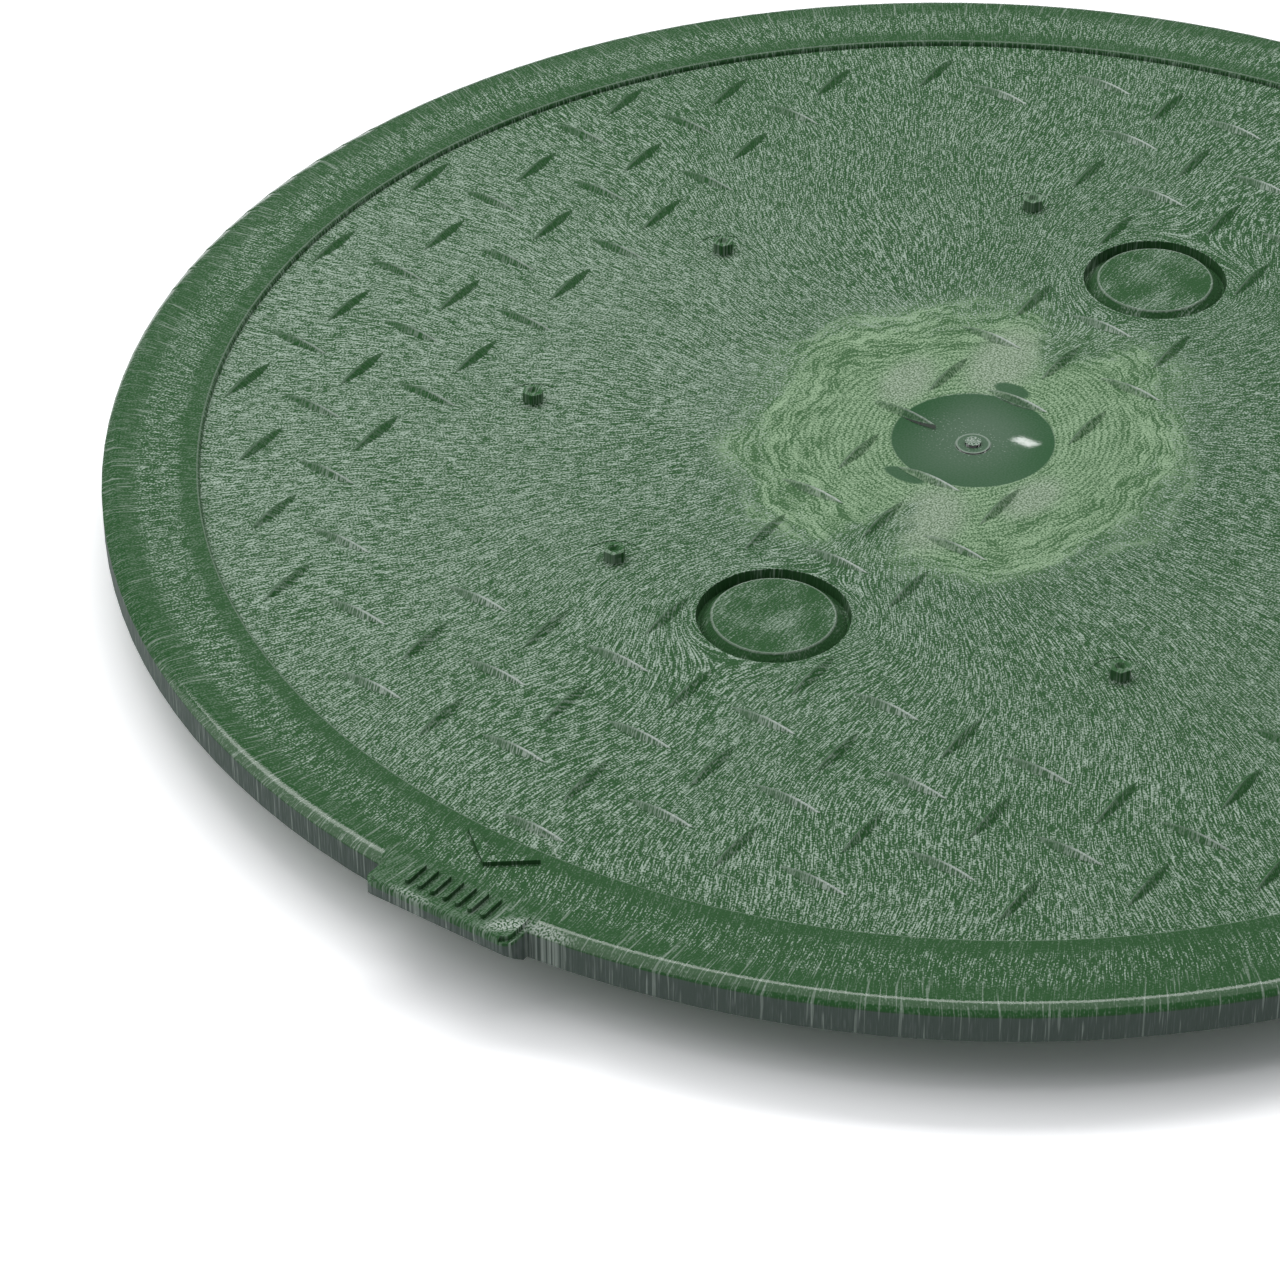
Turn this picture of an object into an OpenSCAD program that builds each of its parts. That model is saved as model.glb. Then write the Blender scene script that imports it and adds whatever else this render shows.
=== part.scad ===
// Round cover of a buried valve box, moulded in one piece of green plastic.
// Millimetres, +Z up. The axis of the disc is Z, and z = 0 is the lower edge of the locating ring.
// The lift tab stands out of the edge towards -Y.

/* [Disc] */
// Outer diameter at the parting line of the edge
lid_d = 300; // [294:1:306]
// Thickness of the deck under the tread field
deck_t = 4; // [3.5:0.5:6]
// Full height of the outer edge
edge_h = 6; // [5.5:0.5:7]
// Thickness of the wall that hangs down at the edge
skirt_t = 3.5; // [2.5:0.5:5]
// Plan width of the rounding at the top of the edge
edge_round_w = 2.7; // [2:0.1:3.5]
// Radius of that rounding
edge_round = 4; // [3.6:0.2:6]
// Step back of the hanging wall below the parting line
wall_step = 0.3; // [0.2:0.1:0.6]
// Height of the bead between the rounding and that step
bead_h = 0.4; // [0.3:0.1:0.8]

/* [Rim band] */
// Width of the raised rim band, from the end of the tread field to the edge
rim_w = 16.7; // [15:0.1:19]
// Height of the rim band above the field
rim_rise = 1; // [0.6:0.1:1.4]
// Radius of the band's inner edge
rim_round = 0.7; // [0.3:0.1:0.9]

/* [Lift tab] */
// Width of the tab
tab_w = 28; // [24:1:36]
// Reach of the tab beyond the outer diameter
tab_reach = 4; // [3:0.5:7]
// Thickness of the lip
tab_t = 3; // [2.8:0.1:3.5]
// Radius of the tab's corners, seen from above
tab_corner = 2; // [1.8:0.1:3]
// Radius of the tab's upper edges
tab_round = 0.8; // [0.4:0.1:0.9]
// Thickness of the two cheeks under the lip
cheek_t = 2.5; // [2:0.5:4]
// Reach of the cheeks' lower edge beyond the outer diameter
cheek_foot = 0.3; // [0:0.1:1.5]
// Number of raised grip ribs across the lip
grip_n = 7; // [3:1:9]
// Spacing of the grip ribs
grip_pitch = 2.4; // [2:0.1:2.8]
// Length of each grip rib
grip_len = 5; // [3:0.5:5.5]
// Width of each grip rib
grip_w = 0.9; // [0.6:0.1:1.2]
// Height of the grip ribs and of the arrow
mark_h = 0.8; // [0.4:0.1:1]
// Distance of the middle of the grip ribs from the tab's outer edge
grip_inset = 4.8; // [4:0.1:5]
// Width of the raised arrow that points out to the tab
arrow_w = 14; // [8:1:18]
// Length of that arrow
arrow_len = 5.5; // [4:0.5:7]
// Distance of the arrow's middle from the inner edge of the rim band
arrow_inset = 5.5; // [4.7:0.2:6.7]
// Stroke width of the arrow
arrow_stroke = 1.2; // [0.8:0.1:1.6]

/* [Tread] */
// Spacing of the tread bars, the same both ways
tread_pitch = 14.3; // [14.2:0.1:15.4]
// Length of a bar from point to point
tread_len = 13.3; // [11:0.1:13.5]
// Width of a bar at the field
tread_w = 2.3; // [1.7:0.1:2.7]
// Height of a bar at its middle
tread_h = 1.1; // [0.8:0.1:1.4]
// Bare margin between the bars and the rim band
tread_margin = 1.3; // [0.8:0.1:2.5]

/* [Knock-outs] */
// Distance of each knock-out from the axis
knock_spread = 61.5; // [59:0.5:64]
// Diameter of the plug in the middle
knock_d = 20.6; // [18:0.2:21]
// Diameter of the moat around it
moat_d = 25.8; // [25:0.2:27]
// Depth of the moat
moat_depth = 2.2; // [1.5:0.1:2.4]
// Width of the moat's flat floor
moat_floor = 0.5; // [0.3:0.1:0.8]

/* [Gate dish] */
// Diameter of the shallow dish in the middle
dish_d = 28.6; // [26:0.2:30]
// Depth of the dish
dish_depth = 1.1; // [0.8:0.1:1.4]
// Diameter of the low ring that the trimmed gate left
gate_d = 6; // [5:0.2:8]
// Diameter of the gate's broken stub
gate_stub_d = 2.8; // [2:0.1:3.6]
// Height of the ring
gate_h = 0.3; // [0.2:0.1:0.5]
// Height of the stub
gate_stub_h = 0.5; // [0.3:0.1:0.8]

/* [Studs] */
// Size of a hexagonal stud from corner to corner
stud_d = 3.9; // [3.4:0.1:4.4]
// Height of a stud above the field
stud_h = 2; // [1.4:0.1:2.4]
// Diameter of the hollow in its top
stud_cup_d = 2; // [1.4:0.1:2.4]
// Depth of that hollow
stud_cup_depth = 0.7; // [0.4:0.1:1]
// Diameter of the shallow mark around it
stud_mark_d = 10; // [9:0.2:10.6]
// Depth of that mark
stud_mark_depth = 0.12; // [0.1:0.02:0.4]

/* [Underside] */
// Outer diameter of the ring that locates the cover in the box's mouth
ring_d = 250; // [244:1:256]
// Depth of that ring below the seat
ring_h = 11; // [9:0.5:14]
// Wall thickness of the ring
ring_t = 3; // [2.5:0.5:4]
// Middle diameter of the stiffening ring
mid_d = 176; // [170:1:182]
// Outer diameter of the hub ring
hub_d = 34; // [30:1:38]
// Number of radial ribs
rib_n = 8; // [8:4:8]
// Thickness of the ribs and of the two inner rings
rib_t = 2.5; // [2:0.5:3.5]
// Distance of the ribs' lower edge above the ring's
rib_lift = 2; // [1:0.5:4]

/* [Hidden] */
lid_r = lid_d / 2;
seat_z = ring_h;
field_z = seat_z + deck_t;
rim_z = field_z + rim_rise;
skirt_z = rim_z - edge_h;
rim_in_r = lid_r - rim_w;
parting_z = rim_z - edge_round + sqrt(pow(edge_round, 2) - pow(edge_round_w, 2));
wall_r = lid_r - wall_step;
tab_end = lid_r + tab_reach;
lip_z = rim_z - tab_t;
tab_root = lid_r - skirt_t;
tread_r = rim_in_r - tread_margin;
half_len = tread_len / 2;
half_w = tread_w / 2;
bar_r = (half_len * half_len + half_w * half_w) / (2 * half_w);
bar_off = bar_r - half_w;
// Everything that stands on the deck starts this far below its upper face.
root = 1.2;
bar_slope = half_w / tread_h;
knock_r = knock_d / 2;
moat_r = moat_d / 2;
dish_r = dish_d / 2;
dish_ball = (dish_r * dish_r + dish_depth * dish_depth) / (2 * dish_depth);
ring_r = ring_d / 2;
mid_r = mid_d / 2;
hub_r = hub_d / 2;
rib_z = rib_lift;
cols = floor(tread_r / tread_pitch);
// Centres of the studs, which mark the ejector pins.
studs = [[-31, 69.7], [-69.6, 25.1], [-69.6, -33.5], [-30.8, -63.5], [55.2, -43], [55.2, 43]];

// A bar runs along Y where its row and column numbers add up to an even number.
function upright(i, j) = (i + j) % 2 == 0;
function bar_end(i, j) = upright(i, j)
    ? [abs(i) * tread_pitch, abs(j) * tread_pitch + half_len]
    : [abs(i) * tread_pitch + half_len, abs(j) * tread_pitch];
function on_left_plate(i, j) = i >= -5 && i <= -2 && abs(j) <= 5;
function on_right_plate(i, j) = i >= 2 && i <= 5 && abs(j) <= 4;
function on_left_step(i, j) = (i == -4 && abs(j) == 6) || (j == 6 && (i == -5 || i == -3))
    || (i == -3 && j == 7);
function at_knock_out(i, j) = (i == 0 && abs(j) >= 4 && abs(j) <= 5) || (abs(i) == 1 && abs(j) == 4);
function bare(i, j) = (i == 0 && j == 0) || on_left_plate(i, j) || on_right_plate(i, j)
    || on_left_step(i, j) || at_knock_out(i, j);
function in_field(i, j) = norm(bar_end(i, j)) <= tread_r;

// Half section of the deck, the rim band and the hanging wall.
module disc_section() {
    difference() {
        union() {
            square([lid_r - edge_round_w, rim_z]);
            square([wall_r, parting_z]);
            translate([0, parting_z - bead_h]) square([lid_r, bead_h]);
            intersection() {
                translate([lid_r - edge_round_w, rim_z - edge_round]) circle(edge_round, $fn = 96);
                square([lid_r, rim_z]);
            }
        }
        square([lid_r - skirt_t, seat_z]);
        square([lid_r, skirt_z]);
        translate([0, field_z]) square([rim_in_r, rim_rise]);
        difference() {
            translate([rim_in_r, rim_z - rim_round]) square(rim_round);
            translate([rim_in_r + rim_round, rim_z - rim_round]) circle(rim_round, $fn = 48);
        }
    }
}

module disc() {
    rotate_extrude($fn = 180) disc_section();
}

// Half section of the moat: a steep outer wall, a flat floor and a sloping flank up to the plug.
module moat() {
    rotate_extrude($fn = 72) {
        polygon([
            [knock_r, field_z + root],
            [knock_r, field_z],
            [moat_r - moat_floor - 0.2, field_z - moat_depth],
            [moat_r - 0.2, field_z - moat_depth],
            [moat_r, field_z],
            [moat_r, field_z + root]
        ]);
    }
}

module dish() {
    translate([0, 0, field_z - dish_depth + dish_ball]) sphere(dish_ball, $fn = 180);
}

// Half section of the body whose rim forms one side of a bar: upright in the deck, leaning above it.
module bar_side() {
    bar_top = tread_h + 0.3;
    rotate_extrude($fn = 180)
        polygon([
            [0, -root],
            [bar_r, -root],
            [bar_r, 0],
            [bar_r - bar_top * bar_slope, bar_top],
            [0, bar_top]
        ]);
}

// The bar is what two such bodies share, so its sides meet in an arched crest over its middle line.
module bar() {
    intersection() {
        translate([-bar_off, 0, 0]) bar_side();
        translate([bar_off, 0, 0]) bar_side();
    }
}

module tread() {
    for (i = [-cols:cols]) {
        for (j = [-cols:cols]) {
            if (in_field(i, j) && !bare(i, j)) {
                translate([i * tread_pitch, j * tread_pitch, field_z])
                    rotate([0, 0, upright(i, j) ? 0 : 90])
                    bar();
            }
        }
    }
}

module gate() {
    floor_z = field_z - dish_depth;
    translate([0, 0, floor_z - root]) cylinder(h = root + gate_h, d = gate_d, $fn = 48);
    translate([0, 0, floor_z - root]) cylinder(h = root + gate_h + gate_stub_h, d = gate_stub_d, $fn = 24);
}

module stud() {
    difference() {
        translate([0, 0, field_z - root]) cylinder(h = root + stud_h, d = stud_d, $fn = 6);
        translate([0, 0, field_z + stud_h - stud_cup_depth])
            cylinder(h = stud_cup_depth, d1 = stud_cup_d / 2, d2 = stud_cup_d, $fn = 24);
    }
}

// Outline of the tab from above, from inside the wall to its straight outer edge.
module tab_plan(inset) {
    corner = tab_corner - inset;
    half = tab_w / 2 - inset;
    end = tab_end - inset;
    translate([-half, -end + corner]) square([2 * half, end - corner - tab_root]);
    translate([-half + corner, -end]) square([2 * (half - corner), corner]);
    for (side = [-1, 1]) {
        translate([side * (half - corner), -end + corner]) circle(corner, $fn = 48);
    }
}

// The lip with its upper edges rounded.
module lip() {
    inner = tab_corner - tab_round;
    half = tab_w / 2 - tab_round;
    shoulder = rim_z - tab_round;
    translate([0, 0, lip_z]) linear_extrude(shoulder - lip_z) tab_plan(0);
    translate([0, 0, lip_z]) linear_extrude(tab_t) tab_plan(tab_round);
    translate([-half + inner, -tab_end + tab_round, shoulder])
        rotate([0, 90, 0])
        cylinder(h = 2 * (half - inner), r = tab_round, $fn = 24);
    for (side = [-1, 1]) {
        translate([side * half, -tab_root, shoulder])
            rotate([90, 0, 0])
            cylinder(h = tab_end - tab_round - inner - tab_root, r = tab_round, $fn = 24);
        translate([side * (half - inner), -tab_end + tab_round + inner, shoulder])
            rotate_extrude($fn = 48)
            translate([inner, 0])
            intersection() {
                circle(tab_round, $fn = 24);
                translate([-inner, -tab_round]) square([inner + tab_round, 2 * tab_round]);
            }
    }
}

// A cheek closes the side of the finger gap, from the foot of the wall up to the end of the lip.
module cheek() {
    translate([-cheek_t / 2, 0, 0])
        rotate([90, 0, 90])
        linear_extrude(cheek_t)
        polygon([
            [-tab_root, skirt_z],
            [-lid_r - cheek_foot, skirt_z],
            [-tab_end, lip_z],
            [-tab_end, lip_z + 1],
            [-tab_root, lip_z + 1]
        ]);
}

module tab() {
    lip();
    intersection() {
        translate([0, 0, skirt_z]) linear_extrude(edge_h) tab_plan(0);
        for (side = [-1, 1]) {
            translate([side * (tab_w - cheek_t) / 2, 0, 0]) cheek();
        }
    }
}

module grip_rib() {
    linear_extrude(root + mark_h) {
        for (side = [-1, 1]) {
            translate([0, side * (grip_len - grip_w) / 2]) circle(d = grip_w, $fn = 24);
        }
        square([grip_w, grip_len - grip_w], center = true);
    }
}

module grip() {
    for (k = [0:grip_n - 1]) {
        translate([(k - (grip_n - 1) / 2) * grip_pitch, -tab_end + grip_inset, rim_z - root]) grip_rib();
    }
}

// A broad open arrow head that points out over the tab.
module arrow() {
    translate([0, -rim_in_r - arrow_inset, rim_z - root])
        linear_extrude(root + mark_h)
        polygon([
            [-arrow_w / 2, arrow_len / 2],
            [0, -arrow_len / 2],
            [arrow_w / 2, arrow_len / 2],
            [arrow_w / 2 - 2 * arrow_stroke, arrow_len / 2],
            [0, -arrow_len / 2 + 1.6 * arrow_stroke],
            [-arrow_w / 2 + 2 * arrow_stroke, arrow_len / 2]
        ]);
}

module pipe(r_out, wall, z0) {
    translate([0, 0, z0]) difference() {
        cylinder(h = seat_z - z0 + root, r = r_out, $fn = 180);
        translate([0, 0, -1]) cylinder(h = seat_z - z0 + root + 2, r = r_out - wall, $fn = 180);
    }
}

// Ribs run from the hub ring to the locating ring, clear of the knock-outs.
module ribs() {
    rib_in = hub_r - rib_t / 2;
    rib_out = ring_r - ring_t / 2;
    for (k = [0:rib_n - 1]) {
        rotate([0, 0, (k + 0.5) * 360 / rib_n])
            translate([rib_in, -rib_t / 2, rib_z])
            cube([rib_out - rib_in, rib_t, seat_z - rib_z + root]);
    }
}

module stiffening() {
    pipe(ring_r, ring_t, 0);
    pipe(mid_r + rib_t / 2, rib_t, rib_z);
    pipe(hub_r, rib_t, rib_z);
    ribs();
}

module cover() {
    color([0.23, 0.35, 0.25]) {
        difference() {
            union() {
                disc();
                tab();
                stiffening();
            }
            dish();
            for (side = [-1, 1]) {
                translate([0, side * knock_spread, 0]) moat();
            }
            for (place = studs) {
                translate([place[0], place[1], field_z - stud_mark_depth])
                    cylinder(h = stud_mark_depth + root, d = stud_mark_d, $fn = 48);
            }
        }
        tread();
        gate();
        for (place = studs) {
            translate([place[0], place[1], 0]) stud();
        }
        grip();
        arrow();
    }
}

cover();
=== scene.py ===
# %% [markdown]
# # A valve box cover in green plastic
#
# The real cover is one injection moulding, and the CAD frame holds its exact shape already: the tread bars, the
# knock-outs, the lift tab and the ribs underneath. Nothing is left to model here, so this lesson is about one thing,
# the skin. It tells how the melt filled the mould. Pale fibres run out from the gate in the middle and part round the
# knock-outs, fine ripples lie in an oval round the gate, and the crests and edges are worn pale.
#
# One could paint all that as an image and wrap it on the cover. Here it is worked out from each point's place instead.
# It stays sharp up close, it covers the edge and the underside too, and every number in it can be changed.

# %% Load the frame
import math

import bpy
from mathutils import Matrix, Quaternion, Vector

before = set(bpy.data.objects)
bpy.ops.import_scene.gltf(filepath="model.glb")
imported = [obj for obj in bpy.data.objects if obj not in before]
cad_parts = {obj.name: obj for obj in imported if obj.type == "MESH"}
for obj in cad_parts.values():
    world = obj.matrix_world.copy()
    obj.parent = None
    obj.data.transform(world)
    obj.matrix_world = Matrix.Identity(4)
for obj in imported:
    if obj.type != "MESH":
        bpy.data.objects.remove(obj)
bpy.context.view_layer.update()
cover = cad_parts["cover"]
print(f"cover: {len(cover.data.polygons)} faces and {len(cover.material_slots)} material slot")

# %% [markdown]
# ## Formulas as nodes
#
# A finish that follows a formula takes many math nodes. They can be placed by hand in the shader editor, or by a
# script with one call for each node and link, and either way the formula is soon hard to see. Here a small class
# wraps a socket and its operators add the nodes, so that `(x * x + y * y).sqrt()` reads as the formula that it is.

# %% Arithmetic on sockets
class Ex:
    """A socket that takes part in arithmetic: each operator adds one math node to the socket's tree."""

    def __init__(self, tree, socket):
        self.tree, self.socket = tree, socket

    def op(self, name, *others, clamp=False):
        node = self.tree.nodes.new("ShaderNodeMath")
        node.operation, node.use_clamp = name, clamp
        for socket, value in zip(node.inputs, (self, *others)):
            put(self.tree, socket, value)
        return Ex(self.tree, node.outputs[0])

    def __add__(self, o): return self.op("ADD", o)
    __radd__ = __add__
    def __mul__(self, o): return self.op("MULTIPLY", o)
    __rmul__ = __mul__
    def __sub__(self, o): return self.op("SUBTRACT", o)
    def __rsub__(self, o): return (self * -1.0) + o
    def __truediv__(self, o): return self.op("DIVIDE", o)
    def __pow__(self, o): return self.op("POWER", o)
    def sqrt(self): return self.op("SQRT")
    def abs(self): return self.op("ABSOLUTE")
    def sign(self): return self.op("SIGN")
    def floor(self): return self.op("FLOOR")
    def round(self): return self.op("ROUND")
    def sin(self): return self.op("SINE")
    def log2(self): return self.op("LOGARITHM", 2.0)
    def exp(self): return self.op("EXPONENT")
    def min(self, o): return self.op("MINIMUM", o)
    def max(self, o): return self.op("MAXIMUM", o)
    def clip(self): return self.op("ADD", 0.0, clamp=True)

    def step(self, zero, one):
        """0 up to the first value and 1 from the second, or the other way round, with a smooth slope between."""
        node = self.tree.nodes.new("ShaderNodeMapRange")
        node.interpolation_type = "SMOOTHSTEP"
        put(self.tree, node.inputs["Value"], self)
        falling = one < zero
        node.inputs["From Min"].default_value, node.inputs["From Max"].default_value = sorted((zero, one))
        node.inputs["To Min"].default_value, node.inputs["To Max"].default_value = float(falling), float(not falling)
        return Ex(self.tree, node.outputs["Result"])


def put(tree, socket, value):
    """Feeds a socket from an expression, or sets it to a plain value."""
    if isinstance(value, Ex):
        tree.links.new(value.socket, socket)
    else:
        socket.default_value = value


print(f"made: Ex, with {sum(callable(value) for value in vars(Ex).values())} operators and functions")

# %% [markdown]
# Noise stands for what is irregular. It is centred on 0 here, so that a finish can take more or less of it and keep
# its mean. Where a pattern is the same from the top of a wall to its foot, flat noise does, in less time. Masks are
# the other half of the work: 1 where a finish is and 0 elsewhere. `step` above makes one from a distance or a height,
# and its slope is where one finish fades into the next, because moulded plastic has hardly a hard border.

# %% Vectors, noise and colours
def vec(tree, x, y, z):
    """Three expressions as one vector."""
    node = tree.nodes.new("ShaderNodeCombineXYZ")
    for socket, value in zip(node.inputs, (x, y, z)):
        put(tree, socket, value)
    return Ex(tree, node.outputs[0])


def parts(v):
    """The three components of a vector."""
    node = v.tree.nodes.new("ShaderNodeSeparateXYZ")
    put(v.tree, node.inputs[0], v)
    return [Ex(v.tree, s) for s in node.outputs]


def noise(v, scale=1.0, flat=False):
    """Noise with features of about 1 / scale, centred on 0. Flat noise reads only x and y."""
    node = v.tree.nodes.new("ShaderNodeTexNoise")
    node.noise_dimensions = "2D" if flat else "3D"
    put(v.tree, node.inputs["Vector"], v)
    node.inputs["Scale"].default_value = scale
    node.inputs["Detail"].default_value = 0.0
    return Ex(v.tree, node.outputs["Fac"]) - 0.5


def blend(tree, share, a, b):
    """The colour a where share is 0 and b where it is 1."""
    node = tree.nodes.new("ShaderNodeMix")
    node.data_type = "RGBA"
    put(tree, node.inputs["Factor"], share)
    put(tree, node.inputs["A"], a if isinstance(a, Ex) else (*a, 1.0))
    put(tree, node.inputs["B"], b if isinstance(b, Ex) else (*b, 1.0))
    return Ex(tree, node.outputs["Result"])


print("made: vec, parts, noise and blend")

# %% [markdown]
# Each part of the skin becomes a node group with named inputs and outputs. A single tree would work as well, but a
# group can be opened, read and used again by itself, as a drawing's detail view can.

# %% Node groups
SOCKET_KINDS = {"f": "NodeSocketFloat", "v": "NodeSocketVector"}


def new_group(name, inputs, outputs):
    """An empty node group, and its inputs as expressions. A socket is named by a word, or by a kind and words."""
    tree = bpy.data.node_groups.new(name, "ShaderNodeTree")
    for labels, in_out in ((inputs, "INPUT"), (outputs, "OUTPUT")):
        for label in labels:
            kind, label = label if isinstance(label, tuple) else ("f", label)
            tree.interface.new_socket(name=label, in_out=in_out, socket_type=SOCKET_KINDS[kind])
    source = tree.nodes.new("NodeGroupInput")
    return tree, [Ex(tree, s) for s in source.outputs if s.name]


def finish_group(tree, values):
    """Feeds the group's outputs in order."""
    sink = tree.nodes.new("NodeGroupOutput")
    for socket, value in zip(sink.inputs, values):
        put(tree, socket, value)
    print(f"group {tree.name}: {len(tree.nodes)} nodes")
    return tree


def use(tree, group, *values):
    """Puts a group into a tree, feeds its inputs in order, and returns its outputs."""
    node = tree.nodes.new("ShaderNodeGroup")
    node.node_tree = group
    for socket, value in zip(node.inputs, values):
        put(tree, socket, value)
    return [Ex(tree, s) for s in node.outputs]


print("made: new_group, finish_group and use")

# %% [markdown]
# ## Where the melt flowed
#
# The melt came in at the gate and spread in straight rays, except round the two knock-outs: each stands in the mould
# as a round pillar, and the fibres part in front of it and close behind it. One could draw curves and measure the
# distance to them, but there is a formula for such a flow. A source at 0 beside a pillar of radius a round c has the
# same streamlines as three bare points: the source, a second one at the mirror point m = c - a²/c and a sink at c.
# With a point's place as a complex number z, the direction of z (z - m) / (z - c) is then the same all along one
# streamline, and that holds for both pillars together closely enough. Inside a pillar the plain ray is used.

# %% Pillars in the flow
KNOCK_Y = 61.5          # From the gate to a knock-out's middle, in mm as all sizes here.
GROOVE_R = 12.9         # Outer radius of the groove round a knock-out.
PILLAR_R = GROOVE_R + 0.6
MIRROR_Y = KNOCK_Y - PILLAR_R ** 2 / KNOCK_Y


def knock_distance(x, y):
    """The distance from the middle of the nearer knock-out: that of (x, |y|) from (0, KNOCK_Y)."""
    return (x * x + (y.abs() - KNOCK_Y) ** 2.0).sqrt()


def complex_mul(a, b):
    """The product of two complex numbers, each given as its real and its imaginary part."""
    return a[0] * b[0] - a[1] * b[1], a[0] * b[1] + a[1] * b[0]


print(f"pillars at {KNOCK_Y} mm, with mirror points at {MIRROR_Y:.2f} mm")

# %% [markdown]
# The lines of a real flow sway a little, so slow noise shifts each point before the formula is used. All lengths are
# turned into millimetres here, because that is what one measures on the cover.

# %% Streamlines
RIM_Z = 16.0            # The rim band's height over the locating ring's lower edge.
SWAY_SCALE, SWAY = 0.026, 11.0


def make_flow():
    """Group: a position in metres gives coordinates in mm and the unit direction that marks its streamline.

    The direction is z (z - m) / (z - c) for both pillars, divided by its length. To divide by a complex number turns
    as to multiply by its mirror image does. Path is the way along the skin: the radius, and most of the height that a
    wall falls below the rim.
    """
    tree, (pos,) = new_group("melt_flow", [("v", "Position")],
                             ["X", "Y", "Z", "Radius", "Path", "Line X", "Line Y"])
    x, y, z = [c * 1000.0 for c in parts(pos)]
    wx = x + noise(vec(tree, x, y, 0.0), SWAY_SCALE, flat=True) * SWAY
    wy = y + noise(vec(tree, y + 300.0, x, 0.0), SWAY_SCALE, flat=True) * SWAY
    line = (wx, wy)
    for side in (-1.0, 1.0):
        line = complex_mul(line, (wx, wy - side * MIRROR_Y))
        line = complex_mul(line, (wx, side * KNOCK_Y - wy))
    inside = knock_distance(x, y).step(GROOVE_R + 0.1, GROOVE_R)
    length = (line[0] * line[0] + line[1] * line[1]).sqrt().max(1e-6)
    r = (x * x + y * y).sqrt()
    safe = r.max(0.01)
    lx = line[0] / length * (1.0 - inside) + x / safe * inside
    ly = line[1] / length * (1.0 - inside) + y / safe * inside
    return finish_group(tree, [x, y, z, r, r + (RIM_Z - z) * 0.8, lx, ly])


FLOW = make_flow()

# %% [markdown]
# The fibres are about a sixth of a millimetre wide everywhere. Noise in polar coordinates can't give that, because it
# widens with the radius. So two layers of it are laid over each other, one twice as fine as the other, and the share
# of the finer one grows with the radius until it takes over and the next pair begins.

# %% Streaks along the streamlines
FIRST_R = 12.0          # The radius at which the first pair of layers begins.


def make_streaks():
    """Group: noise drawn out along the streamlines, with streaks of about Width by Length at any radius.

    With t = log2(radius / FIRST_R), the layers have 2^floor(t) and 2^(floor(t) + 1) times as many streaks around. The
    sum is divided by the root of the squared shares, so that the contrast stays the same.
    """
    tree, (r, path, lx, ly, width, length, seed) = new_group(
        "melt_streaks", ["Radius", "Path", "Line X", "Line Y", "Width", "Length", "Seed"], ["Value"])
    t = (r.max(3.0) / FIRST_R).log2()
    low = t.floor()
    share = t - low
    around = (low * math.log(2.0)).exp() * FIRST_R / width
    along = path / length + seed
    coarse = noise(vec(tree, lx * around, ly * around, along))
    fine = noise(vec(tree, lx * around * 2.0, ly * around * 2.0, along))
    level = ((1.0 - share) * (1.0 - share) + share * share).sqrt()
    return finish_group(tree, [(coarse * (1.0 - share) + fine * share) / level])


STREAKS = make_streaks()

# %% [markdown]
# ## The tread bars
#
# The bars stand on a square lattice and take turns lying and standing. The melt crossed a lying bar and left short
# strokes on it, a standing bar shows clean green, and both get a thin pale line along the crest, a painted highlight.
# One could give each bar a material of its own, or list the bars' places here. Rounding the plan coordinates to the
# lattice is shorter: it gives each point its nearest bar, and the point's height tells whether it is on it.

# %% Tread bars
FIELD_Z = 15.0          # The field's height, 1 mm below the rim band.
RIM_IN_R = 133.3        # Inner radius of the rim band.
PITCH = 14.3            # From one bar's middle to the next one's.


def line_at(value, place, half, core):
    """1 where the value is at its place, falling to 0 between the core's half width and the line's."""
    return (value - place).abs().step(half, core)


def make_bars():
    """Group: masks of the bars. With a bar's column i and row j, it lies where i + j is odd and stands where even.

    Raised is 1 on a bar's body, and the crest is a line along its middle, for a painted highlight. The crest and the
    strokes are strongest at one end, painted as the lit end: the right one of a lying bar, and the near one of a
    standing bar.
    """
    tree, (x, y, z) = new_group("tread_bars", ["X", "Y", "Z"], ["Raised", "Lying", "Crest", "Strokes"])
    i, j = (x / PITCH).round(), (y / PITCH).round()
    u, v = x - i * PITCH, y - j * PITCH
    half = (i + j) * 0.5
    lying = (half - half.floor()) * 2.0
    across = u * (1.0 - lying) + v * lying
    along = v * (1.0 - lying) + u * lying
    in_field = (x * x + y * y).sqrt().step(RIM_IN_R, RIM_IN_R - 0.5)
    raised = (z - FIELD_Z).step(0.04, 0.16) * in_field
    # Painted light: each bar is paler towards its lit end, the right one if it lies and the near one if it stands.
    lit_end = (along * (lying * 2.0 - 1.0)).step(-2.0, 3.0)
    # Painted highlight: a thin pale line along each bar's crest.
    crest = raised * line_at(across, 0.0, 0.30, 0.08) * (0.20 + lit_end * 0.80)
    comb = vec(tree, along * 3.8 + across * 1.2, across * 0.5 + j * 7.0, 0.0)
    strokes = noise(comb, flat=True).step(-0.02, 0.12) * (0.35 + lit_end * 0.65)
    return finish_group(tree, [raised, lying, crest, strokes])


BARS = make_bars()

# %% [markdown]
# ## The swirl round the gate
#
# The first melt to enter the mould chilled in an oval round the gate. It is paler and yellower than the rest. Near the
# gate it has fine ripples, and farther out its fronts overlap like the grain of wood. Two dark wedges point at the gate
# from above and below, where the fronts of the two halves met, and four greyish petals lie between. All of them are
# ovals and wedges, which are short to write. Curves drawn by hand would follow the picture more closely, but they would
# be a list of points that nobody could change.

# %% Ovals and wedges
SWIRL_LEFT, SWIRL_RIGHT, SWIRL_FAR = 40.0, 35.5, 41.0


def oval(x, y, centre, radii, turn, soft):
    """1 inside a turned ellipse and 0 outside. The slope reaches from 1 - soft to 1 + soft of the radii."""
    c, s = math.cos(math.radians(turn)), math.sin(math.radians(turn))
    dx, dy = x - centre[0], y - centre[1]
    a = (dx * c + dy * s) / radii[0]
    b = (dy * c - dx * s) / radii[1]
    return (a * a + b * b).sqrt().step(1.0 + soft, 1.0 - soft)


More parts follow.
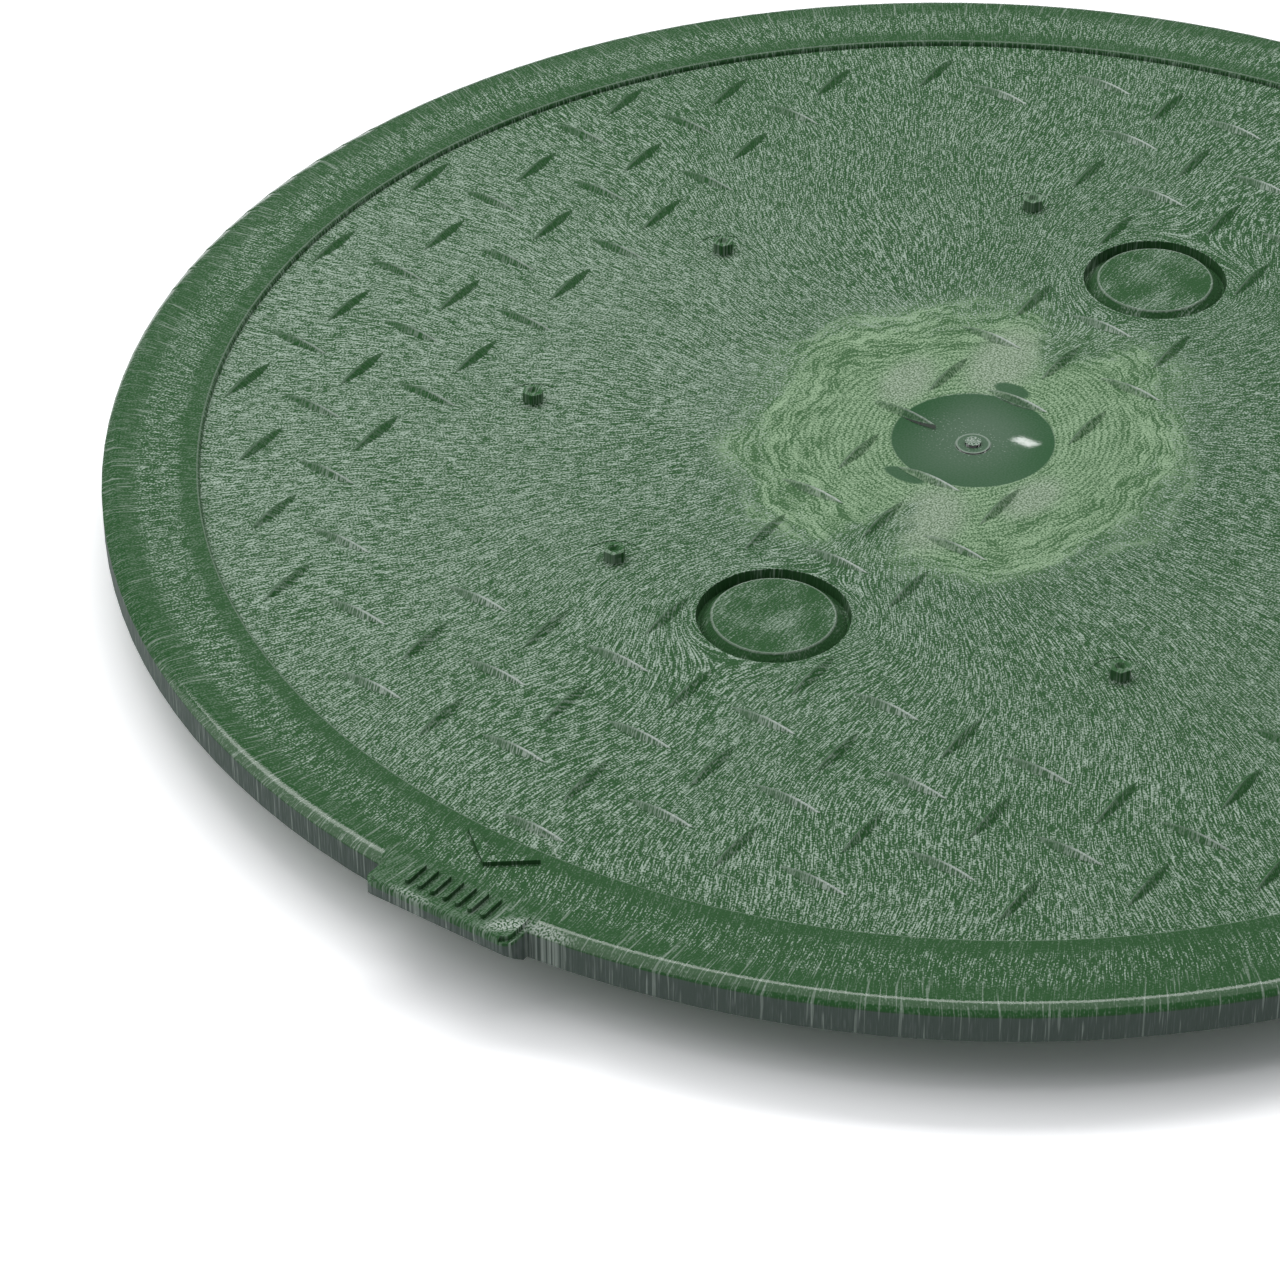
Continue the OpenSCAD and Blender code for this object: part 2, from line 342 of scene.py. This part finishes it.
def wedge(ahead, aside, slope, ragged):
    """A wedge that begins where ahead is 0 and widens by the slope to each side, with a ragged border."""
    return (ahead * slope - aside.abs() + ragged).step(-1.6, 2.2)


def swirl_distance(x, y):
    """The distance from the gate in an oval's measure, which is SWIRL_LEFT all along the oval, and the direction."""
    sx = x.max(0.0) / SWIRL_RIGHT - x.min(0.0) / SWIRL_LEFT
    sy = y / SWIRL_FAR
    e = (sx * sx + sy * sy).sqrt().max(0.01)
    return e * SWIRL_LEFT, sx / e * x.sign(), sy / e


def either(*masks):
    """The greatest of some masks."""
    whole = masks[0]
    for mask in masks[1:]:
        whole = whole.max(mask)
    return whole


print(f"swirl: {SWIRL_LEFT + SWIRL_RIGHT} by {2.0 * SWIRL_FAR} mm")

# %% [markdown]
# Even rings round the gate would look turned on a lathe. The real ones wander, so slow and quick noise is added to the
# distance first, and every mask of the swirl is made from the distance that wanders.

# %% Swirl
RIPPLE = 1.15           # From one ripple to the next.
PETALS = [              # Middle, half sizes, turn in degrees and softness of each.
    ((-8.5, 23.5), (5.5, 10.5), 12.0, 0.45),
    ((-19.0, 8.5), (4.0, 7.5), 10.0, 0.5),
    ((6.5, -24.0), (5.5, 9.5), 18.0, 0.45),
    ((17.5, -9.0), (3.6, 6.5), -8.0, 0.5),
]


def make_swirl():
    """Group: the oval's mask, its light and dark, and its petals.

    The fronts are noise drawn out along the oval: its coordinates are the direction from the gate times a count, and
    the wandering distance over the spacing.
    """
    tree, (x, y, grain, speckle) = new_group("gate_swirl", ["X", "Y", "Grain", "Speckle"], ["Mask", "Tone", "Petals"])
    e, dx, dy = swirl_distance(x, y)
    slow = noise(vec(tree, x, y, 0.0), 0.065, flat=True)
    quick = noise(vec(tree, x + 90.0, y, 0.0), 0.33, flat=True)
    wander = e + slow * 8.0 + quick * 2.0
    broad = noise(vec(tree, dx * 2.6, dy * 2.6, wander / 2.4))
    narrow = noise(vec(tree, dx * 5.5, dy * 5.5, wander / 0.60 + 40.0))
    ragged = quick * 5.0 + speckle
    wedges = wedge(y - 24.0, x + 1.0, 0.6, ragged).max(wedge(y * -1.0 - 21.5, x - 2.0, 0.42, ragged))
    edge = wander - broad * 9.0 - narrow * 6.0 + speckle * 5.0
    mask = edge.step(45.0, 37.5) * (1.0 - wedges * 0.8)
    ripple = (e * (2.0 * math.pi / RIPPLE) + slow * 16.0).sin() * wander.step(33.0, 26.0)
    fronts = (wander - broad * 6.0).step(24.0, 31.0) * (broad * 0.8 - narrow.step(0.00, 0.11) * 0.58 + 0.08)
    tone = 0.48 + ripple * 0.20 + grain * 1.9 + quick * 0.4 + fronts
    return finish_group(tree, [mask, tone.clip(), either(*[oval(x, y, *petal) for petal in PETALS])])


SWIRL = make_swirl()

# %% [markdown]
# ## Marks of the mould and of use
#
# The mould is built of inserts, and each leaves a hair line on the moulding: two rounded rectangles lie on the field.
# The cover has been handled, so a few pale scuffs lie on the tab, on the edge beside it and on the field, and there is
# dust in the dish. Marks can be modelled or painted. These are too shallow to catch the light, so a mask is enough, and
# the distance to a rounded rectangle has a short formula.

# %% Marks
INSERTS = [             # Middle, half sizes, corner radius and the line's half width of each.
    ((-52.2, 3.8), (26.2, 74.2), 7.0, 0.22),
    ((53.4, 0.0), (20.8, 54.0), 4.0, 0.22),
]


def outline(x, y, centre, half, corner, width):
    """1 on the outline of a rounded rectangle and 0 away from it. The outline is where the signed distance is 0."""
    qx = (x - centre[0]).abs() - (half[0] - corner)
    qy = (y - centre[1]).abs() - (half[1] - corner)
    ox, oy = qx.max(0.0), qy.max(0.0)
    distance = (ox * ox + oy * oy).sqrt() + qx.max(qy).min(0.0) - corner
    return line_at(distance, 0.0, width, width * 0.4)


def make_marks():
    """Group: insert lines, scuffs and dust. The scuffs are spots and one arc, each broken up by the grain."""
    tree, (x, y, grain) = new_group("mould_marks", ["X", "Y", "Grain"], ["Lines", "Scuffs", "Dust"])
    lines = either(*[outline(x, y, *insert) for insert in INSERTS])
    arc = line_at(x * x * 0.05 + y, -129.4, 0.8, 0.2) * line_at(x, 3.5, 5.0, 3.0)
    spots = either(oval(x, y, (11.4, -150.5), (3.4, 1.3), 45.0, 0.5),
                   oval(x, y, (17.0, -148.2), (4.0, 1.0), 5.0, 0.5) * 0.7,
                   oval(x, y, (-5.0, -153.4), (3.5, 0.7), 0.0, 0.5) * 0.6,
                   arc * 0.55)
    dust = oval(x, y, (-2.0, 0.5), (8.0, 5.5), 0.0, 0.5) * grain.step(0.27, 0.34)
    return finish_group(tree, [lines, spots * (grain * 3.5 + 0.55).clip(), dust])


MARKS = make_marks()

# %% [markdown]
# ## Smooth where it is polished
#
# The mould was polished in the dish and on the rounded edge, so both are glossy, and a highlight on them shows every
# flat facet of the mesh. Smooth shading would mend that, but it would also soften the crisp bars in the same mesh. Both
# places are simple surfaces, so the shader can work out their true normals: those of a sphere over the dish, and those
# of a rolled circle on the edge. Elsewhere the mesh's own normal stays.

# %% True normals
DISH_R, DISH_DEPTH = 14.3, 1.1
EDGE_ROUND_R = 147.3    # Where the edge's rounding begins, and its radius.
EDGE_ROUND = 4.0


def make_normals():
    """Group: the normal of the dish's sphere, of the edge's rounding, or the mesh's own.

    The sphere's radius is (R² + d²) / 2d for a dish of radius R and depth d. On the rounding, the normal leans out by
    the sine (r - start) / rounding radius.
    """
    tree, (x, y, z, r, in_dish, on_edge, plain) = new_group(
        "true_normals", ["X", "Y", "Z", "Radius", "Dish", "Edge", ("v", "Mesh Normal")], [("v", "Normal")])
    ball = (DISH_R ** 2 + DISH_DEPTH ** 2) / (2.0 * DISH_DEPTH)
    sphere = (x * (-1.0 / ball), y * (-1.0 / ball), (ball + FIELD_Z - DISH_DEPTH - z) / ball)
    lean = ((r - EDGE_ROUND_R) / EDGE_ROUND).clip()
    safe = r.max(0.01)
    rolled = (x / safe * lean, y / safe * lean, (1.0 - lean * lean).sqrt())
    mixed = [p * (1.0 - in_dish - on_edge) + a * in_dish + b * on_edge
             for p, a, b in zip(parts(plain), sphere, rolled)]
    return finish_group(tree, [vec(tree, *mixed)])


TRUE_NORMALS = make_normals()

# %% [markdown]
# ## One material for the whole skin
#
# The cover is one piece of one plastic, so it gets one Principled shader, and what differs from place to place comes in
# through masks. Separate materials for the field, the rim and the bars would end at faces, with hard borders that a
# moulding doesn't have. The pattern is carried by Object coordinates, which stay with the cover wherever it goes.

# %% The material
skin = bpy.data.materials.new("streaked_green_plastic")
skin.use_nodes = True
tree = skin.node_tree
tree.nodes.clear()
coords = Ex(tree, tree.nodes.new("ShaderNodeTexCoord").outputs["Object"])
x, y, z, r, path, lx, ly = use(tree, FLOW, coords)
plan = vec(tree, x, y, z)


def tell(step):
    print(f"{step}: {len(tree.nodes)} nodes in the skin so far")


tell("place and flow")

# %% [markdown]
# ## Places on the cover
#
# The mould's steel differed from place to place, and the skin tells. The rim band is bare green at both its borders,
# the wall under the parting line is grey, and the edge's rounding is polished up to the tab. Each such place gets a
# mask from its radius, height or distance. Vertex groups could do that too, but the mesh has no vertices where most of
# these borders run.

# %% Rim, edge and tab
PARTING_Z = 14.95       # Height of the mould's parting line, where the edge's wall begins.
TAB_HALF = 14.6         # Half the tab's width, with the little rounding at its sides.
MARK_H = 0.8            # Height of the arrow head and the grip ribs on the tab.
BAND_IN, BAND_OUT = (135.8, 138.0), (142.8, 145.5)  # The rim's pale band begins and ends between these radii.
on_rim = r.step(RIM_IN_R - 0.3, RIM_IN_R + 0.3)
rim_dark = on_rim * (r.step(BAND_IN[1], BAND_IN[0]) + r.step(*BAND_OUT))
# Painted highlight: a thin pale line on the rounded top of the rim's step.
step_line = line_at(r, RIM_IN_R + 0.35, 0.20, 0.05)
wall = z.step(PARTING_Z - 0.2, PARTING_Z - 0.35) * r.step(148.9, 149.4)
on_tab = y.step(-145.0, -147.0) * x.abs().step(15.5, 13.5)
at_tab = y.step(-140.0, -140.1) * x.abs().step(TAB_HALF + 0.1, TAB_HALF)
rounding = r.step(EDGE_ROUND_R, EDGE_ROUND_R + 0.02) * z.step(PARTING_Z - 0.03, PARTING_Z + 0.01) * (1.0 - at_tab)
# The sides of the tab's raised marks, which are darkened further on as painted shade.
mark_side = z.step(RIM_Z + 0.02, RIM_Z + 0.08) * z.step(RIM_Z + MARK_H - 0.01, RIM_Z + MARK_H - 0.08)
tell("rim, edge and tab")

# %% [markdown]
# A knock-out is a round plug with a groove round it, which a hammer breaks out where a pipe or a hose comes up. Its
# edge gets a thin pale line, a painted highlight. The groove and its wall are darkened as painted shade, and pale
# mottling on the groove's floor is a painted sheen. The groove's wall is a mask of its own, because it stands right on
# the groove's radius, where the mask of the groove fades.

# %% Knock-outs
PLUG_R = 10.3           # Radius of the plug inside the groove.
TOP_Z = 12.0            # All that faces up lies above this, and the underside lies below.
from_knock = knock_distance(x, y)
top = z.step(TOP_Z, TOP_Z + 0.2)
groove_wall = from_knock.step(GROOVE_R + 0.5, GROOVE_R + 0.4) * z.step(FIELD_Z - 0.04, FIELD_Z - 0.25) * top
knock_out = from_knock.step(GROOVE_R, GROOVE_R - 0.3)
groove = from_knock.step(PLUG_R, PLUG_R + 0.3) * knock_out.max(groove_wall)
knock_out = knock_out.max(groove)
# Painted highlight: a thin pale line round the plug's edge.
plug_edge = line_at(from_knock, PLUG_R - 0.05, 0.28, 0.08)
tell("knock-outs")

# %% [markdown]
# The dish in the middle keeps the stub that the gate left below the field, so that nothing catches on it. The dish
# ends where a tread bar runs into it, so its mask leaves out what is raised, and it is kept off the underside.

# %% Bars and dish
raised, lying, crest, strokes = use(tree, BARS, x, y, z)
dish_disc = r.step(DISH_R + 0.1, DISH_R - 0.4) * top
in_dish = dish_disc * (1.0 - raised)
tell("bars and dish")

# %% [markdown]
# ## How many fibres
#
# The fibres are a pale filler that the melt carried and combed. Their number is one value, from which the light and
# the dark are drawn further on: streaks along the flow, plus a round grain, plus a bias for each place. On the real
# cover they crowd to the left of the gate, thin out on the rim in front, crowd again on the tab, and turn to soft
# marbling on the knock-outs, where the melt stood still. It would be easier to mix two colours with one noise, but the
# eye finds such an even skin at once.

# %% Noises
FIBRE_WIDTH, FIBRE_LENGTH = 0.165, 2.0
grain = noise(plan, 2.9, flat=True)
fine = use(tree, STREAKS, r, path, lx, ly, FIBRE_WIDTH, FIBRE_LENGTH, 3.0)[0]
patches = noise(plan, 0.055, flat=True)
marbling = noise(vec(tree, x + grain * 1.5, y * 0.7, 0.0), 0.19, flat=True)
tell("noises")

# %% [markdown]
# The noises are alike all over the cover. What differs is their strength, which is the contrast, and what is added to
# them, which is how pale a place is on the whole. Both are best set one place at a time, by measuring how pale and how
# mottled that place is in the picture and in the render. Judged by eye alone, a place looks right or wrong by the
# company it keeps.

# %% Fibres
leftward, rightward = x.step(20.0, -90.0), x.step(40.0, 110.0)
farther = y.step(-10.0, 80.0)
speckle = (fine * 2.0 + grain * 2.4) * (0.96 + farther * 0.30 + leftward * 0.10 - rightward * 0.12)
bias = (patches * 0.18 - 0.06 - farther * 0.09 + leftward * (0.20 - farther * 0.22) + on_tab * 0.55
        - on_rim * (0.34 - farther * 0.27) - groove * 0.12
        + knock_out * (marbling * 1.1 - 0.17 + farther * 0.19))
fibre = (speckle + fine * (1.4 - knock_out * 0.9)) * (1.0 - knock_out * 0.48) + bias
# Painted sheen: pale mottling on the groove's floor.
pale_floor = groove * marbling.step(0.03, 0.16)
# Painted shade darkens the groove, its wall and the sides of the tab's marks. The rim's bare bands are darkened too, as
# their own colour.
rim_bands_and_painted_light = (1.0 - rim_dark.clip() * 0.70) * (1.0 - groove * 0.60 + pale_floor * 0.45 - mark_side * 0.75)
light = fibre.step(-0.42, 1.14) * rim_bands_and_painted_light * (1.0 - farther * 0.08)
tell("fibres")

# %% [markdown]
# ## Colours, from the ground up
#
# Colours are laid on as a painter would: the field first, the bars over it, then the swirl, the dish, and the wear
# and the painted highlights last. Each is a pair, a dark and a pale, and a value chooses between them. In front of the
# gate and behind it the melt ran across the lying bars and along the standing ones, so that is where their strokes are
# strongest.

# %% Field and bars
GREEN_DARK, FIBRE_PALE = (0.015, 0.078, 0.017), (0.345, 0.440, 0.360)
BAR_DARK, BAR_PALE = (0.014, 0.090, 0.016), (0.350, 0.430, 0.362)
ahead = (y.abs() / r.max(1.0)).step(0.45, 0.95)
crossed = strokes * lying * (0.45 + ahead * 0.50)
combed = light * (0.10 + ahead * (1.0 - lying) * (0.42 - farther * 0.28)) + lying * ahead * 0.14
bar_color = blend(tree, (combed + crossed).clip(), BAR_DARK, BAR_PALE)
color = blend(tree, raised * 0.95, blend(tree, light, GREEN_DARK, FIBRE_PALE), bar_color)
tell("field and bars")

# %% [markdown]
# The swirl lies over the field and half hides the bars' own green. Its petals are greyer, with the grain of the field.

# %% Swirl colours
SWIRL_DARK, SWIRL_PALE = (0.042, 0.122, 0.038), (0.310, 0.450, 0.280)
PETAL_DARK, PETAL_PALE = (0.140, 0.205, 0.125), (0.390, 0.465, 0.375)
swirl_mask, tone, petals = use(tree, SWIRL, x, y, grain, speckle)
petal_color = blend(tree, (speckle * 0.4 + grain * 1.6 + 0.5).clip(), PETAL_DARK, PETAL_PALE)
swirl_color = blend(tree, petals * 0.7, blend(tree, tone, SWIRL_DARK, SWIRL_PALE), petal_color)
color = blend(tree, swirl_mask * (1.0 - raised * 0.45) * 0.92, color, swirl_color)
tell("swirl")

# %% [markdown]
# The dish is dark and clean, with a faint haze round the gate, some dust and the torn stub in its middle. Two small
# lobes of the same clean green lie outside it, where two bars meet it and kept the melt from turning pale.

# %% Dish colours
DISH_DARK, DISH_PALE = (0.028, 0.098, 0.036), (0.090, 0.155, 0.100)
WORN_AND_HIGHLIGHT = (0.420, 0.490, 0.430)
STUB_R, GATE_RING_R = 1.3, 2.9
lines, scuffs, dust = use(tree, MARKS, x, y, grain)
haze = r.step(15.0, 4.0)
stub = r.step(STUB_R + 0.2, STUB_R) * (grain * 3.0 + 0.6).clip()
gate_ring = line_at(r, GATE_RING_R, 0.35, 0.10)
dish_color = blend(tree, (grain * 0.5 + patches + 0.1 + haze * 0.75).clip(), DISH_DARK, DISH_PALE)
dish_color = blend(tree, either(gate_ring * 0.45, stub * 0.8, dust * 0.5), dish_color, WORN_AND_HIGHLIGHT)
lobes = oval(x, y, (-2.4, 16.6), (3.4, 1.9), 0.0, 0.15).max(oval(x, y, (-4.0, -15.6), (4.0, 1.7), 0.0, 0.15))
color = blend(tree, (dish_disc * (1.0 - raised * 0.30)).max(lobes * (1.0 - raised)), color, dish_color)
tell("dish")

# %% [markdown]
# The wall at the edge is where the melt froze first, so it is grey and streaked from top to foot. On the left it is
# made greyer still, a painted reflection of the white surroundings. Long pale flecks run over the rounded edge. They
# are streaks as well, but few and bright, so they get a noise of their own with a high threshold.

# %% Edge colours
WALL_DARK, WALL_PALE = (0.018, 0.042, 0.025), (0.270, 0.305, 0.298)
FLECKS_AROUND, FLECK_LENGTH = 420.0, 7.0
# Painted reflection: the wall turns greyer towards the left.
wall_tone_and_painted_reflection = light * 0.60 + 0.17 + x.step(-100.0, -150.0) * 0.34
color = blend(tree, wall, color, blend(tree, wall_tone_and_painted_reflection, WALL_DARK, WALL_PALE))
fleck_place = vec(tree, lx * FLECKS_AROUND, ly * FLECKS_AROUND, path / FLECK_LENGTH + 5.0)
flecks = noise(fleck_place).step(0.15, 0.26) * r.step(141.0, 146.0)
color = blend(tree, flecks * (0.30 + light * 0.5), color, WORN_AND_HIGHLIGHT)
tell("edge")

# %% [markdown]
# Wear and painted highlights come last, because they lie on top of everything: pale crests on the bars and pale
# lines at the plugs and at the rim's step, which are painted highlights, then the scuffs, and the dark hair lines
# between the mould's inserts.

# %% Painted highlights and wear
CREST_HIGHLIGHT = (0.580, 0.650, 0.600)
# Painted highlight along the bars' crests, strongest on lying bars in front of the gate and behind it.
color = blend(tree, crest * (0.16 + lying * (0.34 + ahead * 0.45)), color, CREST_HIGHLIGHT)
# Painted highlights at the plugs' edges and the rim's step, and the real scuffs.
color = blend(tree, either(plug_edge * 0.35, step_line * 0.25, scuffs), color, WORN_AND_HIGHLIGHT)
color = blend(tree, lines * 0.35, color, GREEN_DARK)
tell("wear")

# %% [markdown]
# ## Gloss and relief
#
# The field has a dull, slightly rough skin, while the dish and the edge are as smooth as glass. Roughness alone would
# leave the field too flat, so the grain also feeds a bump of a sixth of a millimetre, which is far too fine to model.
# The bump starts from the true normals above, and the mesh's own normal is read here and passed in, because the export
# reads Geometry in the material and not inside a group.

# %% Shader
FIELD_ROUGH, DISH_ROUGH, EDGE_ROUGH = 0.85, 0.035, 0.12
BUMP_HEIGHT, BUMP_STRENGTH = 0.00016, 0.6
roughness = FIELD_ROUGH - in_dish * (FIELD_ROUGH - DISH_ROUGH) - rounding * (FIELD_ROUGH - EDGE_ROUGH)
shader = tree.nodes.new("ShaderNodeBsdfPrincipled")
put(tree, shader.inputs["Base Color"], color)
put(tree, shader.inputs["Roughness"], roughness)
shader.inputs["Specular IOR Level"].default_value = 0.42
bump = tree.nodes.new("ShaderNodeBump")
bump.inputs["Strength"].default_value = BUMP_STRENGTH
bump.inputs["Distance"].default_value = BUMP_HEIGHT
put(tree, bump.inputs["Height"], grain * (1.0 - rounding * 0.9 - in_dish * 0.975))
mesh_normal = Ex(tree, tree.nodes.new("ShaderNodeNewGeometry").outputs["Normal"])
put(tree, bump.inputs["Normal"], use(tree, TRUE_NORMALS, x, y, z, r, in_dish, rounding, mesh_normal)[0])
tree.links.new(bump.outputs[0], shader.inputs["Normal"])
tree.links.new(shader.outputs[0], tree.nodes.new("ShaderNodeOutputMaterial").inputs["Surface"])
for slot in cover.material_slots:
    slot.material = skin
tell("shader")

# %% [markdown]
# ## Floor, light and camera
#
# The cover lies on a plain pale floor. A floor that is lit up to white would need so much light that the cover is
# bleached too. Instead, the floor has one colour where the camera or a reflection sees it, which turns out white, and a
# plain one for the light that it throws back on the cover. It keeps its shadow either way.

# %% Floor
FLOOR_HALF = 6.0
FLOOR_SEEN, FLOOR_PLAIN = (1.35, 1.35, 1.36), (0.80, 0.80, 0.82)


def make_floor():
    """A square of two times FLOOR_HALF a side at z = 0, with its two-coloured material."""
    mesh = bpy.data.meshes.new("floor")
    s = FLOOR_HALF
    mesh.from_pydata([(-s, -s, 0), (s, -s, 0), (s, s, 0), (-s, s, 0)], [], [(0, 1, 2, 3)])
    obj = bpy.data.objects.new("floor", mesh)
    bpy.context.scene.collection.objects.link(obj)
    material = bpy.data.materials.new("pale_floor")
    material.use_nodes = True
    tree = material.node_tree
    shader = tree.nodes["Principled BSDF"]
    ray = tree.nodes.new("ShaderNodeLightPath")
    seen = Ex(tree, ray.outputs["Is Camera Ray"]).max(Ex(tree, ray.outputs["Is Glossy Ray"]))
    put(tree, shader.inputs["Base Color"], blend(tree, seen, FLOOR_PLAIN, FLOOR_SEEN))
    shader.inputs["Roughness"].default_value = 0.9
    shader.inputs["Specular IOR Level"].default_value = 0.1
    mesh.materials.append(material)
    return obj


floor = make_floor()
print(f"floor: {floor.dimensions.x:.0f} m wide")

# %% [markdown]
# Large soft boxes give the even light of a product studio. The key stands to the left in front, a long low one behind
# lifts the far rim, and one overhead fills in. The small window is the pale patch that shows in the dish: its place is
# found by mirroring the line of sight in the dish at that spot, and its size is the patch's own.

# %% Lights
def softbox(name, direction, distance, width, height, power, along=(0.0, 0.0, 1.0)):
    """A rectangular light at that direction from the cover, facing it. Its height runs along the last vector."""
    data = bpy.data.lights.new(name, "AREA")
    data.shape, data.size, data.size_y, data.energy = "RECTANGLE", width, height, power
    obj = bpy.data.objects.new(name, data)
    back = Vector(direction).normalized()
    side = Vector(along).cross(back).normalized()
    obj.matrix_world = Matrix((side, back.cross(side), back)).transposed().to_4x4()
    obj.location = back * distance
    bpy.context.scene.collection.objects.link(obj)
    print(f"{name}: {power} W from {distance} m")


softbox("key", (-0.60, -0.42, 0.74), 1.6, 1.5, 1.5, 9.0)
softbox("back", (-0.25, 0.42, 0.875), 1.6, 2.4, 0.36, 15.0)
softbox("top", (-0.1, 0.1, 1.0), 1.6, 1.2, 1.2, 5.0)
softbox("window", (-0.4918, 0.6437, 0.5862), 1.2, 0.030, 0.074, 0.075, along=(-0.635, 0.172, -0.752))

# %% [markdown]
# The world is the room round the studio: a weak, slightly cool light for the shadows. Where the camera looks past the
# floor it has to be white, so the camera alone sees it at full strength.

# %% World
ROOM_COLOR, ROOM_LIGHT, ROOM_SEEN = (0.95, 0.97, 1.0, 1.0), 0.3, 1.05
world = bpy.data.worlds.new("studio")
world.use_nodes = True
room = world.node_tree
seen = Ex(room, room.nodes.new("ShaderNodeLightPath").outputs["Is Camera Ray"])
room.nodes["Background"].inputs["Color"].default_value = ROOM_COLOR
put(room, room.nodes["Background"].inputs["Strength"], seen * (ROOM_SEEN - ROOM_LIGHT) + ROOM_LIGHT)
bpy.context.scene.world = world
print(f"world: strength {ROOM_LIGHT}, seen as {ROOM_SEEN}")

# %% [markdown]
# The camera stands where the picture was taken from. Its place, its turn and its focal length were fitted to the
# cover's outline, the rim's inner circle, the rows of bars and the knock-outs, so that all of them fall where the
# picture has them.

# %% Camera
lens = bpy.data.cameras.new("camera")
lens.lens = 140.891
lens.sensor_width = 36.0
camera = bpy.data.objects.new("camera", lens)
camera.location = (0.36496, -0.61116, 0.51060)
camera.rotation_mode = "QUATERNION"
camera.rotation_quaternion = Quaternion((0.854008, 0.423006, 0.136995, 0.270126))
bpy.context.scene.collection.objects.link(camera)
bpy.context.scene.camera = camera
bpy.context.scene.view_settings.view_transform = "Standard"
print(f"camera: {camera.location.length:.3f} m away, {math.degrees(lens.angle):.1f} degrees wide")

# %% [markdown]
# ## Size
#
# The skin adds no shape, so the cover has to be as large as it was when it was loaded.
